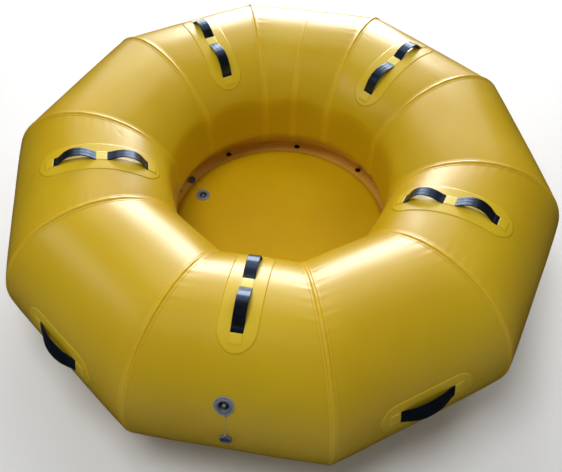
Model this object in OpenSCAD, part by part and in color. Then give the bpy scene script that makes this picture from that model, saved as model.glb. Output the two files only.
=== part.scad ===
// Towable ring: ten mitred air-tube panels, an air floor, ten webbing handles and two valves.
// The ring stands on z = 0 with its axis on Z. The inflation valve faces -Y.

/* [Ring] */
// Radius of the ring's corners, measured on the tube's centreline
corner_r = 695; // [660:5:760]
// Radius of the inflated air tube
tube_r = 300; // [290:1:305]
// Thickness of the coated fabric skin
skin_t = 1; // [0.8:0.1:1.2]
// Radius of the round hole inside the ring
hole_r = 393; // [385:1:400]
// Width of the welded tape on each seam
tape_w = 30; // [20:1:36]

/* [Floor] */
// Height of the floor's underside above the ground
floor_z = 36; // [30:1:45]
// Thickness of the inflated floor at its edge
floor_t = 90; // [80:2:94]
// Radius of the floor's flat part, before its rounded edge
floor_r = 395; // [385:1:398]
// How far the floor crowns up in the middle
floor_crown = 6; // [2:1:10]
// Diameter of the hole through each drain eyelet
drain_d = 11; // [8:0.5:12]

/* [Top handles] */
// Width of the webbing on the top handles
top_web_w = 38; // [34:1:42]
// Height of a top loop above the tube
top_rise = 33; // [28:1:40]
// Half of the arc that one top loop spans, in degrees round the tube
top_half_arc = 13.5; // [12:0.5:14]
// Place of the middle keeper, in degrees round the tube from its outer side
keeper_angle = 101; // [95:1:105]
// Width of the reinforcing patch under a top handle
top_patch_w = 116; // [100:2:124]

/* [Side handles] */
// Width of the webbing on the side handles
side_web_w = 50; // [44:1:54]
// Height of a side loop above the tube
side_rise = 18; // [16:1:22]
// Length of a side loop, between its two feet
side_loop_l = 190; // [170:5:210]
// Place of a side handle, in degrees round the tube from its outer side
side_angle = 12; // [8:1:16]
// Length of the reinforcing patch under a side handle
side_patch_l = 324; // [300:4:340]
// Width of the reinforcing patch under a side handle
side_patch_w = 118; // [100:2:124]

/* [Valves] */
// Diameter of the ring valve's welded flange
ring_flange_d = 60; // [56:1:64]
// Diameter of the floor valve's welded flange
floor_flange_d = 56; // [52:1:60]
// Diameter of the mouth that takes the pump's nozzle
mouth_d = 32; // [30:0.5:33]

/* [Hidden] */
$fn = 64;
sides = 10;
turn = 360 / sides;
half_turn = turn / 2;
flat_r = corner_r * cos(half_turn);
valve_azimuth = -90;
eps = 0.01;
// How far a cutting shape reaches past what it cuts, and sizes larger than any panel or patch.
cut = 10;
past_panel = 700;
past_patch = 400;
past_ring = 1100;
fine_fn = 360;

// The wall of the hole flares out below this height, towards the floor.
flare_z = 240;
flare_slope = 0.63;
// Each panel stops a hair short of the mitre, under the tape.
seam_gap = 0.05;
tape_t = 1.2;
tape_ground_gap = 3;
tape_floor_z = 116;
tape_floor_r = 500;
closing_tape_w = 26;
closing_tape_offset = 10;
// The closing tape stops short of the side handle's patch, above and below it.
closing_gap_z = 62;
closing_gap_h = 140;

patch_t = 1.2;
web_t = 3;
tab_t = 1.2;
tab_edge = 5;
tab_l = 38;
keeper_l = 36;
top_loop_gap = 2.2;
side_loop_gap = 0.5;
foot_gap = 0.4;
top_lean_cut = 28;
side_lean_cut = 14;
patch_r = tube_r + patch_t;
top_half_l = patch_r * sin(top_half_arc);
keeper_half_arc = keeper_l / 2 / patch_r * 180 / PI;
tab_arc = tab_l / patch_r * 180 / PI;
loop_shift = top_half_arc + keeper_half_arc + 0.1;
top_patch_half_l = 197;
handle_reach = loop_shift + top_half_arc;

thread_pitch = 92;
thread_r = 1;
floor_edge_r = floor_t / 2;
floor_mid_z = floor_z + floor_edge_r;
floor_skin_t = 1.2;
floor_top_z = floor_z + floor_t;
crown_steps = 8;
skirt_z = 112;
skirt_t = 1.2;
skirt_inner_r = 420;
eyelet_place_r = 458;
// The eyelets are set by eye, so some are a little off the panels' middles.
eyelet_azimuths = [-90, -54, -18, 18, 52.6, 89.8, 128.2, 165.1, 198, 234];
eyelet_d = 24;
eyelet_barrel_d = 14;
eyelet_rim_t = 1.4;

ring_valve_angle = 31;
ring_valve_offset = -8;
floor_valve_r = 348;
floor_valve_azimuth = 163.5;
floor_valve_scale = 0.86;
sleeve_l = 20;
sleeve_t = 1.2;
body_d = 40;
body_gap = 0.1;
body_depth = 30;
body_stand = 6;
rim_w = 4;
rim_t = 1.5;
flange_t = 2.5;
seat_z = -24;
seat_t = 3;
seat_hole_d = 24;
hub_d = 10;
hub_t = 7;
hub_arm_w = 2.5;
stem_d = 5;
stem_play = 0.05;
button_d = 12;
button_t = 4;
button_top = 1;
seal_d = 29;
seal_t = 3;
spring_wire_d = 1;
spring_turns = 5;
spring_r = 4;
spring_steps = 12;
cap_d = 36;
cap_h = 10;
cap_wall = 2.5;
cap_base_t = 2;
cap_grips = 18;
cap_grip_d = 2.4;
lug_d = 8;
lug_t = 2;
lug_reach = 3;
lug_place_r = 33.5;
// The turn that puts the ring valve's lug over the tether, which hangs in the panel's middle.
ring_lug_turn = asin(-ring_valve_offset / lug_place_r);
ring_cap_angle = 6;
cap_rest_gap = 0.4;
floor_cap_r = 443;
floor_cap_azimuth = 155.5;
// Where the floor valve and its cap lie, and the turn that points each one's lug at the other.
floor_valve_xy = floor_valve_r * [cos(floor_valve_azimuth), sin(floor_valve_azimuth)];
floor_cap_xy = floor_cap_r * [cos(floor_cap_azimuth), sin(floor_cap_azimuth)];
floor_tether_xy = floor_cap_xy - floor_valve_xy;
floor_tether_azimuth = atan2(floor_tether_xy[1], floor_tether_xy[0]);
floor_lug_turn = floor_tether_azimuth - floor_valve_azimuth;
floor_cap_turn = floor_tether_azimuth - floor_cap_azimuth;
tether_d = 2.5;
tether_sides = 8;

top_azimuths = [-90, -18, 54, 126, 198];
side_azimuths = [-54, 18, 90, 162, 234];

// The two cap tethers, each a list of points along the cord, from flange to cap.
ring_tether_route = [
  [0, -938, 420],
  [0, -941, 413],
  [0, -945, 403],
  [0, -949, 393],
  [0, -952, 383],
  [0, -955, 373],
  [0, -959, 364],
  [0, -965, 356]
];
floor_tether_route = [
  [-355, 125, 130],
  [-361, 132, 130],
  [-367, 139, 129],
  [-373, 147, 128],
  [-379, 154, 126],
  [-385, 162, 122],
  [-390, 168, 121]
];

// ---- Placing ----

function panel_azimuth(i) = valve_azimuth + turn * (i - 1);

// Puts children on the tube's axis in the middle of the panel that faces azimuth.
module in_panel(azimuth) {
  rotate([0, 0, azimuth])
    translate([flat_r, 0, tube_r])
      children();
}

// As in_panel, then turned so that +Z is the tube's outward normal at angle.
module on_tube(azimuth, angle) {
  in_panel(azimuth)
    rotate([0, 90 - angle, 0])
      children();
}

// ---- The ring ----

// One panel's share of the ring, moved out by gap along the panel's middle.
module panel_wedge(gap) {
  translate([0, 0, -cut])
    linear_extrude(2 * (tube_r + cut))
      polygon([
        [gap, 0],
        [gap + past_ring, -past_ring * tan(half_turn)],
        [gap + past_ring, past_ring * tan(half_turn)]
      ]);
}

// The space inside the ring: a round hole that flares out towards the floor.
module hole_space(offset_r) {
  low = -cut;
  high = 2 * tube_r + cut;
  rotate_extrude($fn = 96)
    polygon([
      [0, low],
      [hole_r + offset_r + flare_slope * (flare_z - low), low],
      [hole_r + offset_r, flare_z],
      [hole_r + offset_r, high],
      [0, high]
    ]);
}

// A straight piece of tube, grown by offset_r, with the round hole taken out.
module tube_solid(offset_r) {
  difference() {
    translate([flat_r, 0, tube_r])
      rotate([90, 0, 0])
        cylinder(r = tube_r + offset_r, h = past_panel, center = true);
    hole_space(-offset_r);
  }
}

module ring_panel(i) {
  color("goldenrod")
    rotate([0, 0, panel_azimuth(i)])
      difference() {
        intersection() {
          panel_wedge(seam_gap);
          difference() {
            tube_solid(0);
            tube_solid(-skin_t);
          }
        }
        if (i == 1)
          translate([flat_r, ring_valve_offset, tube_r])
            rotate([0, 90 - ring_valve_angle, 0])
              cylinder(d = body_d + 2 * body_gap, h = tube_r + cut);
      }
}

// Tape lies on the skin, clear of the ground and of the floor's skirt.
module tape_shell() {
  difference() {
    tube_solid(tape_t);
    tube_solid(0);
    translate([0, 0, tape_ground_gap - cut])
      cylinder(r = past_ring, h = cut);
    cylinder(r = tape_floor_r, h = tape_floor_z);
  }
}

module half_tape(side) {
  intersection() {
    panel_wedge(0);
    tape_shell();
    rotate([0, 0, side * half_turn])
      translate([past_ring / 2 + cut, -side * tape_w / 4, tube_r])
        cube([past_ring, tape_w / 2, past_panel], center = true);
  }
}

module seam_tapes() {
  color("khaki")
    for (i = [1:sides])
      union() {
        rotate([0, 0, panel_azimuth(i)])
          half_tape(1);
        rotate([0, 0, panel_azimuth(i) + turn])
          half_tape(-1);
      }
}

// The ring is closed by one more seam, along the middle of the rear panel.
module closing_seam_tape() {
  color("khaki")
    rotate([0, 0, valve_azimuth + 180])
      difference() {
        intersection() {
          tape_shell();
          translate([past_ring / 2 + cut, closing_tape_offset, tube_r])
            cube([past_ring, closing_tape_w, past_panel], center = true);
        }
        translate([flat_r + tube_r, 0, tube_r + closing_gap_z])
          cube([tube_r, past_patch, closing_gap_h], center = true);
      }
}

// ---- Handles ----

module stadium(l, w, h) {
  linear_extrude(h)
    union() {
      square([l - w, w], center = true);
      for (side = [-1, 1])
        translate([side * (l - w) / 2, 0])
          circle(d = w);
    }
}

// A band that follows the tube round, between two angles.
module round_band(r_in, r_out, from, to, w) {
  reach = 2 * r_out;
  middle = (from + to) / 2;
  rotate([90, 0, 0])
    linear_extrude(w, center = true)
      intersection() {
        difference() {
          circle(r = r_out);
          circle(r = r_in);
        }
        polygon([
          [0, 0],
          [reach * cos(from), reach * sin(from)],
          [reach * cos(middle), reach * sin(middle)],
          [reach * cos(to), reach * sin(to)]
        ]);
      }
}

// A band that follows the tube along, on +Z, with the tube's axis on X.
module long_band(r_in, r_out, from, to, w) {
  intersection() {
    rotate([0, 90, 0])
      difference() {
        cylinder(r = r_out, h = past_patch, center = true);
        cylinder(r = r_in, h = past_patch + cut, center = true);
      }
    translate([from, -w / 2, 0])
      cube([to - from, w, 2 * r_out]);
  }
}

// An arch of webbing over X, whose feet are cut back so that it can lean.
module web_loop(half_l, foot_z, rise, w, gap, lean_cut) {
  crest = tube_r + rise;
  sag = crest - foot_z;
  arc_r = (half_l * half_l + sag * sag) / (2 * sag);
  low = foot_z + gap;
  side_low = low + w * tan(lean_cut);
  top = crest + cut;
  intersection() {
    translate([0, 0, crest - arc_r])
      rotate([90, 0, 0])
        linear_extrude(w, center = true)
          difference() {
            circle(r = arc_r);
            circle(r = arc_r - web_t);
          }
    rotate([90, 0, 90])
      linear_extrude(3 * half_l, center = true)
        polygon([[0, low], [w, side_low], [w, top], [-w, top], [-w, side_low]]);
  }
}

module top_handle_patch(i) {
  color("gold")
    on_tube(top_azimuths[i - 1], keeper_angle - 0.5)
      intersection() {
        rotate([90, 0, 0])
          difference() {
            cylinder(r = patch_r, h = past_patch, center = true);
            cylinder(r = tube_r, h = past_patch + cut, center = true);
          }
        stadium(2 * top_patch_half_l, top_patch_w, patch_r + cut);
      }
}

module top_loop(i, side) {
  color([0.1, 0.11, 0.14])
    on_tube(top_azimuths[i - 1], keeper_angle - side * loop_shift)
      web_loop(top_half_l, patch_r * cos(top_half_arc), top_rise, top_web_w,
               top_loop_gap, top_lean_cut);
}

module strap_band(azimuth, from, to, low, high, w) {
  in_panel(azimuth)
    round_band(patch_r + low, patch_r + high, from, to, w);
}

module top_strap_feet() {
  reach = handle_reach + 0.1;
  color([0.1, 0.11, 0.14])
    for (azimuth = top_azimuths) {
      strap_band(azimuth, keeper_angle - keeper_half_arc,
                 keeper_angle + keeper_half_arc, 0, web_t, top_web_w);
      strap_band(azimuth, keeper_angle - reach - tab_arc,
                 keeper_angle - reach, 0, web_t, top_web_w);
      strap_band(azimuth, keeper_angle + reach,
                 keeper_angle + reach + tab_arc, 0, web_t, top_web_w);
    }
}

// A strip of skin bridged over the webbing and welded down on both sides of it.
module strap_cover(azimuth, from, to) {
  difference() {
    strap_band(azimuth, from, to, 0, web_t + tab_t, top_web_w + 2 * tab_edge);
    strap_band(azimuth, from - 1, to + 1, -cut, web_t, top_web_w);
  }
}

module top_strap_keepers() {
  color("gold")
    for (azimuth = top_azimuths)
      strap_cover(azimuth, keeper_angle - keeper_half_arc, keeper_angle + keeper_half_arc);
}

module top_strap_end_tabs() {
  reach = handle_reach + 0.1;
  color("gold")
    for (azimuth = top_azimuths) {
      strap_cover(azimuth, keeper_angle - reach - tab_arc, keeper_angle - reach);
      strap_cover(azimuth, keeper_angle + reach, keeper_angle + reach + tab_arc);
    }
}

// Turns a side handle so that the tube's axis lies on X.
module side_place(azimuth) {
  on_tube(azimuth, side_angle)
    rotate([0, 0, 90])
      children();
}

module side_handle_patch(i) {
  color("gold")
    side_place(side_azimuths[i - 1])
      intersection() {
        rotate([0, 90, 0])
          difference() {
            cylinder(r = patch_r, h = past_patch, center = true);
            cylinder(r = tube_r, h = past_patch + cut, center = true);
          }
        stadium(side_patch_l, side_patch_w, patch_r + cut);
      }
}

module side_loop(i) {
  color([0.1, 0.11, 0.14])
    side_place(side_azimuths[i - 1])
      web_loop(side_loop_l / 2, patch_r, side_rise, side_web_w, side_loop_gap, side_lean_cut);
}

module side_strap_feet() {
  from = side_loop_l / 2 + foot_gap;
  color([0.1, 0.11, 0.14])
    for (azimuth = side_azimuths)
      side_place(azimuth)
        for (side = [-1, 1])
          rotate([0, 0, side * 90 - 90])
            long_band(patch_r, patch_r + web_t, from, from + tab_l, side_web_w);
}

module side_strap_end_tabs() {
  from = side_loop_l / 2 + foot_gap;
  cover_w = side_web_w + 2 * tab_edge;
  color("gold")
    for (azimuth = side_azimuths)
      side_place(azimuth)
        for (side = [-1, 1])
          rotate([0, 0, side * 90 - 90])
            difference() {
              long_band(patch_r, patch_r + web_t + tab_t, from, from + tab_l, cover_w);
              long_band(patch_r - cut, patch_r + web_t, from - 1, from + tab_l + 1, side_web_w);
            }
}

// ---- The floor ----

function crown_z(r) = floor_top_z + floor_crown * (1 - pow(r / floor_r, 2));
function crown_points(drop) =
  [for (k = [0:crown_steps]) let (r = floor_r * k / crown_steps) [r, crown_z(r) - drop]];

module floor_top_solid(drop) {
  rotate_extrude($fn = 96)
    polygon(concat([[0, floor_mid_z], [floor_r, floor_mid_z]],
                   [for (k = [crown_steps:-1:0]) crown_points(drop)[k]]));
}

// The skin turns down as a sleeve around the valve's body.
module floor_top_skin() {
  color("goldenrod")
    difference() {
      union() {
        difference() {
          floor_top_solid(0);
          floor_top_solid(floor_skin_t);
        }
        intersection() {
          floor_top_solid(0);
          floor_valve_place()
            translate([0, 0, -sleeve_l])
              cylinder(d = body_d + 2 * (body_gap + sleeve_t), h = floor_t);
        }
      }
      floor_valve_place()
        cylinder(d = body_d + 2 * body_gap, h = floor_t, center = true);
    }
}

module floor_bottom_skin() {
  color("goldenrod")
    translate([0, 0, floor_z])
      cylinder(r = floor_r, h = floor_skin_t);
}

module floor_side_band() {
  color("goldenrod")
    rotate_extrude($fn = 96)
      translate([floor_r, floor_mid_z])
        intersection() {
          difference() {
            circle(r = floor_edge_r);
            circle(r = floor_edge_r - floor_skin_t);
          }
          translate([0, -floor_t])
            square([floor_t, 2 * floor_t]);
        }
}

// Threads tie the two skins together and hold the floor flat.
module drop_stitch_threads() {
  steps = floor(floor_r / thread_pitch);
  low = floor_z + floor_skin_t;
  color("white")
    for (i = [-steps:steps], j = [-steps:steps])
      let (x = i * thread_pitch, y = j * thread_pitch, r = norm([x, y]))
        if (r < floor_r - cut)
          translate([x, y, low])
            cylinder(r = thread_r, h = crown_z(r) - floor_skin_t - low - 0.1, $fn = 16);
}

// The skirt joins the floor's edge to the wall of the hole.
module floor_skirt() {
  wall_r = hole_r + flare_slope * (flare_z - skirt_z);
  color("darkgoldenrod")
    difference() {
      rotate_extrude($fn = 96)
        difference() {
          polygon([
            [skirt_inner_r, skirt_z],
            [wall_r, skirt_z],
            [wall_r - flare_slope * skirt_t, skirt_z + skirt_t],
            [skirt_inner_r, skirt_z + skirt_t]
          ]);
          translate([floor_r, floor_mid_z])
            circle(r = floor_edge_r);
        }
      for (azimuth = eyelet_azimuths)
        rotate([0, 0, azimuth])
          translate([eyelet_place_r, 0, skirt_z - cut])
            cylinder(d = eyelet_barrel_d, h = 2 * cut);
    }
}

// An eyelet is a rolled rim and barrel, with a washer under the skirt.
module drain_eyelets() {
  high = skirt_z + skirt_t;
  color([0.08, 0.08, 0.09])
    for (azimuth = eyelet_azimuths)
      rotate([0, 0, azimuth])
        translate([eyelet_place_r, 0, 0])
          difference() {
            union() {
              translate([0, 0, high])
                cylinder(d = eyelet_d, h = eyelet_rim_t);
              translate([0, 0, skirt_z])
                cylinder(d = eyelet_barrel_d, h = skirt_t);
              translate([0, 0, skirt_z - eyelet_rim_t])
                cylinder(d = eyelet_d, h = eyelet_rim_t);
            }
            translate([0, 0, skirt_z - cut])
              cylinder(d = drain_d, h = 2 * cut);
          }
}

// ---- Valves, each drawn with its skin's outer face on z = 0 ----

module ring_valve_place() {
  on_tube(valve_azimuth, ring_valve_angle)
    translate([0, ring_valve_offset, tube_r])
      children();
}

module floor_valve_place() {
  rotate([0, 0, floor_valve_azimuth])
    translate([floor_valve_r, 0, crown_z(floor_valve_r)])
      scale(floor_valve_scale)
        children();
}

// The lug that the tether starts from stands out along +X.
module valve_flange(d) {
  difference() {
    union() {
      translate([0, 0, -cut])
        cylinder(d = d, h = cut + flange_t);
      translate([lug_place_r, 0, -cut])
        cylinder(d = lug_d, h = cut + lug_t);
      translate([0, -lug_d / 2, -cut])
        cube([lug_place_r, lug_d, cut + lug_t]);
      translate([0, 0, flange_t])
        cylinder(d = d, h = rim_t);
    }
    translate([0, 0, flange_t])
      cylinder(d = d - 2 * rim_w, h = rim_t + cut);
    translate([0, 0, -2 * cut])
      cylinder(d = body_d, h = 4 * cut);
  }
}

module valve_body() {
  difference() {
    translate([0, 0, -body_depth])
      cylinder(d = body_d, h = body_depth + body_stand);
    translate([0, 0, seat_z])
      cylinder(d = mouth_d, h = body_depth + body_stand);
    translate([0, 0, -body_depth - 1])
      cylinder(d = mouth_d, h = body_depth + 1 + seat_z - seat_t);
    translate([0, 0, seat_z - seat_t - 1])
      cylinder(d = seat_hole_d, h = seat_t + 2);
  }
  difference() {
    union() {
      translate([0, 0, seat_z - seat_t])
        cylinder(d = hub_d, h = hub_t);
      for (a = [0, 120, 240])
        rotate([0, 0, a])
          translate([0, -hub_arm_w / 2, seat_z - seat_t])
            cube([seat_hole_d / 2 + 1, hub_arm_w, seat_t]);
    }
    translate([0, 0, seat_z - seat_t - 1])
      cylinder(d = stem_d + 2 * stem_play, h = hub_t + 2);
  }
}

// The stem, its button above the hub and its seal below the seat.
module valve_button() {
  seal_top = seat_z - seat_t - 0.1;
  translate([0, 0, seal_top - seal_t])
    cylinder(d = seal_d, h = seal_t);
  translate([0, 0, seal_top - eps])
    cylinder(d = stem_d, h = button_top - button_t - seal_top + 2 * eps);
  translate([0, 0, button_top - button_t])
    cylinder(d = button_d, h = button_t);
}

function helix_point(k, low, high) =
  let (a = 360 * k / spring_steps, f = k / (spring_turns * spring_steps))
  [spring_r * cos(a), spring_r * sin(a), low + (high - low) * f];

module valve_spring() {
  low = seat_z - seat_t + hub_t + spring_wire_d / 2 + 0.1;
  high = button_top - button_t - spring_wire_d / 2 - 0.1;
  sweep([for (k = [0:spring_turns * spring_steps]) helix_point(k, low, high)],
        spring_wire_d, 8);
}

// The cap's open side faces +Z, and its lug stands out along -X.
module valve_cap() {
  difference() {
    union() {
      cylinder(d = cap_d, h = cap_h);
      translate([-cap_d / 2 - lug_reach, 0, cap_h - lug_t])
        cylinder(d = lug_d, h = lug_t);
      translate([-cap_d / 2 - lug_reach, -lug_d / 2, cap_h - lug_t])
        cube([lug_reach + 2, lug_d, lug_t]);
    }
    translate([0, 0, cap_base_t])
      cylinder(d = cap_d - 2 * cap_wall, h = cap_h);
    for (k = [1:cap_grips - 1])
      rotate([0, 0, 180 + 360 * k / cap_grips])
        translate([cap_d / 2 + cap_grip_d / 4, 0, -1])
          cylinder(d = cap_grip_d, h = cap_h + 2);
  }
}

// ---- Cords and wires ----

function along(p, k) =
  let (last = len(p) - 1, d = p[min(k + 1, last)] - p[max(k - 1, 0)]) d / norm(d);
function across(d) =
  let (up = abs(d[2]) < 0.9 ? [0, 0, 1] : [0, 1, 0], c = cross(d, up)) c / norm(c);

// A round cord of the given diameter along the points of p.
module sweep(p, d, n) {
  rings = [
    for (k = [0:len(p) - 1])
      let (t = along(p, k), u = across(t), v = cross(t, u))
        for (j = [0:n - 1])
          p[k] + d / 2 * (cos(360 * j / n) * u + sin(360 * j / n) * v)
  ];
  last = len(p) - 1;
  polyhedron(
    rings,
    concat(
      [[for (j = [0:n - 1]) j]],
      [for (k = [0:last - 1], j = [0:n - 1])
        [k * n + j, (k + 1) * n + j, (k + 1) * n + (j + 1) % n]],
      [for (k = [0:last - 1], j = [0:n - 1])
        [k * n + j, (k + 1) * n + (j + 1) % n, k * n + (j + 1) % n]],
      [[for (j = [n - 1:-1:0]) last * n + j]]
    ),
    convexity = 10
  );
}

module ring_valve_flange() {
  color("lightslategray")
    difference() {
      ring_valve_place()
        rotate([0, 0, ring_lug_turn])
          valve_flange(ring_flange_d);
      in_panel(valve_azimuth)
        rotate([90, 0, 0])
          cylinder(r = tube_r, h = past_panel, center = true, $fn = fine_fn);
    }
}

module ring_valve_body() {
  color("slategray")
    ring_valve_place()
      valve_body();
}

module ring_valve_button() {
  color("silver")
    ring_valve_place()
      valve_button();
}

module ring_valve_spring() {
  color("gainsboro")
    ring_valve_place()
      valve_spring();
}

module ring_valve_cap() {
  color("dimgray")
    on_tube(valve_azimuth, ring_cap_angle)
      translate([0, 0, tube_r + cap_rest_gap])
        valve_cap();
}

module ring_valve_tether() {
  color("silver")
    sweep(ring_tether_route, tether_d, tether_sides);
}

module floor_valve_flange() {
  color("lightslategray")
    difference() {
      floor_valve_place()
        rotate([0, 0, floor_lug_turn])
          valve_flange(floor_flange_d / floor_valve_scale);
      floor_top_solid(0);
    }
}

module floor_valve_body() {
  color("slategray")
    floor_valve_place()
      valve_body();
}

module floor_valve_button() {
  color("silver")
    floor_valve_place()
      valve_button();
}

module floor_valve_spring() {
  color("gainsboro")
    floor_valve_place()
      valve_spring();
}

module floor_valve_cap() {
  color("dimgray")
    rotate([0, 0, floor_cap_azimuth])
      translate([floor_cap_r, 0, skirt_z + skirt_t + cap_rest_gap])
        scale(floor_valve_scale)
          rotate([0, 0, floor_cap_turn])
            valve_cap();
}

module floor_valve_tether() {
  color("silver")
    sweep(floor_tether_route, tether_d, tether_sides);
}

// ---- What is drawn ----

for (i = [1:sides])
  ring_panel(i);
seam_tapes();
closing_seam_tape();
for (i = [1:5])
  top_handle_patch(i);
for (i = [1:5])
  top_loop(i, 1);
for (i = [1:5])
  top_loop(i, -1);
top_strap_feet();
top_strap_keepers();
top_strap_end_tabs();
for (i = [1:5])
  side_handle_patch(i);
for (i = [1:5])
  side_loop(i);
side_strap_feet();
side_strap_end_tabs();
floor_top_skin();
floor_bottom_skin();
floor_side_band();
drop_stitch_threads();
floor_skirt();
drain_eyelets();
ring_valve_flange();
ring_valve_body();
ring_valve_button();
ring_valve_spring();
ring_valve_cap();
ring_valve_tether();
floor_valve_flange();
floor_valve_body();
floor_valve_button();
floor_valve_spring();
floor_valve_cap();
floor_valve_tether();
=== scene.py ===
"""The looks of a ten-panel inflatable ring with a floor, handles and valves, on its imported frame.

A place on the ring is given by the panel's azimuth, the angle round the tube's section (0 on the
outer side, 90 on top, 180 on the inner side), the distance along the panel from its middle, and
the lift above the skin. All lengths are in metres.
"""

import math

import bmesh
import bpy
import numpy as np
from mathutils import Matrix, Vector


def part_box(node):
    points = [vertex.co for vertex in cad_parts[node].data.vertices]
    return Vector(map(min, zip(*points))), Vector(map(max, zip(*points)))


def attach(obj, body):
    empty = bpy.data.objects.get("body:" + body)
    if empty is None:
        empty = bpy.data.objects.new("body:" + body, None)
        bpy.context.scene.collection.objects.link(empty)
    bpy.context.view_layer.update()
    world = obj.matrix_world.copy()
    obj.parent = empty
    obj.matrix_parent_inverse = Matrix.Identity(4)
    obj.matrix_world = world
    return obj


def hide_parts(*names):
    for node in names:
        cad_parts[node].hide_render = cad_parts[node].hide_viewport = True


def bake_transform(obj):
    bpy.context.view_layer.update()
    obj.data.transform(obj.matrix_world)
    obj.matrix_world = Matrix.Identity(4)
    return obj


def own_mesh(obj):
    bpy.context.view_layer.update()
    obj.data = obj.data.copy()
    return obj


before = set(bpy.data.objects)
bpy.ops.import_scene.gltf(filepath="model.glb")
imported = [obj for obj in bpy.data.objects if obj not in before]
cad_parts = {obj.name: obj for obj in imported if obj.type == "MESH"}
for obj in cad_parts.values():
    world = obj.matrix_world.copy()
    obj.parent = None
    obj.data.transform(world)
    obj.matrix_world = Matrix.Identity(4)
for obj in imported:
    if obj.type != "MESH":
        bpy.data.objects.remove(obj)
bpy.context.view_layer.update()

# ---- Sizes, read from the frame where it has them ----

MM = 0.001
SIDES = 10
TURN = 360 / SIDES
HALF_TURN = math.radians(TURN / 2)
VALVE_AZIMUTH = -90
TOP_AZIMUTHS = (-90, -18, 54, 126, 198)
SIDE_AZIMUTHS = (-54, 18, 90, 162, 234)

panel_low, panel_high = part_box("ring_panel_1")
TUBE_R = panel_high.z / 2
FLAT_R = -panel_low.y - TUBE_R
HOLE_R = min(math.hypot(v.co.x, v.co.y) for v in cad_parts["ring_panel_1"].data.vertices)
FLARE_Z = 0.240
FLARE_SLOPE = 0.63
SKIN_T = 1 * MM

PATCH_T = 1.2 * MM
PATCH_R = TUBE_R + PATCH_T
PATCH_LIFT = 1.7 * MM
GLUE_W = 2.2 * MM
WEB_T = 2.8 * MM
TAB_EDGE = 5 * MM
TAB_L = 38 * MM
KEEPER_L = 36 * MM
TAB_SKIN_T = 1.1 * MM

TOP_WEB_W = 38 * MM
TOP_RISE = 33 * MM
TOP_HALF_ARC = 13.5
KEEPER_ANGLE = 101
KEEPER_HALF_ARC = math.degrees(KEEPER_L / 2 / PATCH_R)
TAB_ARC = math.degrees(TAB_L / PATCH_R)
LOOP_SHIFT = TOP_HALF_ARC + KEEPER_HALF_ARC + 0.1
TOP_REACH = LOOP_SHIFT + TOP_HALF_ARC
TOP_PATCH_ANGLE = KEEPER_ANGLE - 0.5
TOP_PATCH_L = 0.394
TOP_PATCH_W = 0.116

SIDE_WEB_W = 50 * MM
SIDE_RISE = 18 * MM
SIDE_HANG = 12 * MM
SIDE_ANGLE = 12
SIDE_LOOP_L = 0.190
SIDE_PATCH_L = 0.324
SIDE_PATCH_W = 0.118

floor_low, floor_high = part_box("floor_top_skin")
FLOOR_R = floor_high.x
FLOOR_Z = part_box("floor_bottom_skin")[0].z
FLOOR_CROWN = 6 * MM
FLOOR_TOP_Z = floor_high.z - FLOOR_CROWN
FLOOR_EDGE_R = (FLOOR_TOP_Z - FLOOR_Z) / 2
FLOOR_MID_Z = FLOOR_Z + FLOOR_EDGE_R
FLOOR_SKIN_T = 1.2 * MM
SKIRT_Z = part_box("floor_skirt")[0].z
SKIRT_T = 1.2 * MM
EYELET_PLACE_R = 0.458
EYELET_AZIMUTHS = (-90, -54, -18, 18, 52.6, 89.8, 128.2, 165.1, 198, 234)
EYELET_D = 24 * MM
DRAIN_D = 11 * MM

RING_VALVE_ANGLE = 31
RING_CAP_ANGLE = 6
RING_FLANGE_D = 60 * MM
RING_VALVE_OFFSET = -8 * MM
FLOOR_VALVE_R = 0.348
FLOOR_VALVE_AZIMUTH = 163.5
FLOOR_VALVE_SCALE = 0.86
FLOOR_FLANGE_D = 56 * MM
FLOOR_CAP_R = 0.443
FLOOR_CAP_AZIMUTH = 155.5
CAP_REST_GAP = 0.4 * MM
TETHER_D = 2.5 * MM
BODY_D = 40 * MM
SKIN_HOLE_D = 42 * MM

# The tethers' routes, from flange to cap, in millimetres, as the frame's own cords have them.
RING_TETHER_ROUTE = (
    (0, -938, 420), (0, -941, 413), (0, -945, 403), (0, -949, 393),
    (0, -952, 383), (0, -955, 373), (0, -959, 364), (0, -965, 356),
)
FLOOR_TETHER_ROUTE = (
    (-355, 125, 130), (-361, 132, 130), (-367, 139, 129), (-373, 147, 128),
    (-379, 154, 126), (-385, 162, 122), (-390, 168, 121),
)


# ---- Camera ----

def make_camera():
    """The camera stands in front, well above the ring, a little to the right, and is slightly rolled."""
    location = Vector((0.2491, -1.6588, 2.2058))
    target = Vector((0.0336, -0.1883, 0.300))
    roll = 0.0209
    forward = (target - location).normalized()
    level = forward.cross(Vector((0, 0, 1))).normalized()
    overhead = level.cross(forward)
    right = level * math.cos(roll) + overhead * math.sin(roll)
    upward = overhead * math.cos(roll) - level * math.sin(roll)
    camera = bpy.data.objects.new("camera", bpy.data.cameras.new("camera"))
    bpy.context.scene.collection.objects.link(camera)
    turn = Matrix((right, upward, -forward)).transposed().to_4x4()
    camera.matrix_world = Matrix.Translation(location) @ turn
    camera.data.sensor_width = 36
    camera.data.lens = 43.19
    camera.data.clip_end = 60
    bpy.context.scene.camera = camera


# ---- Materials ----

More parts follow.
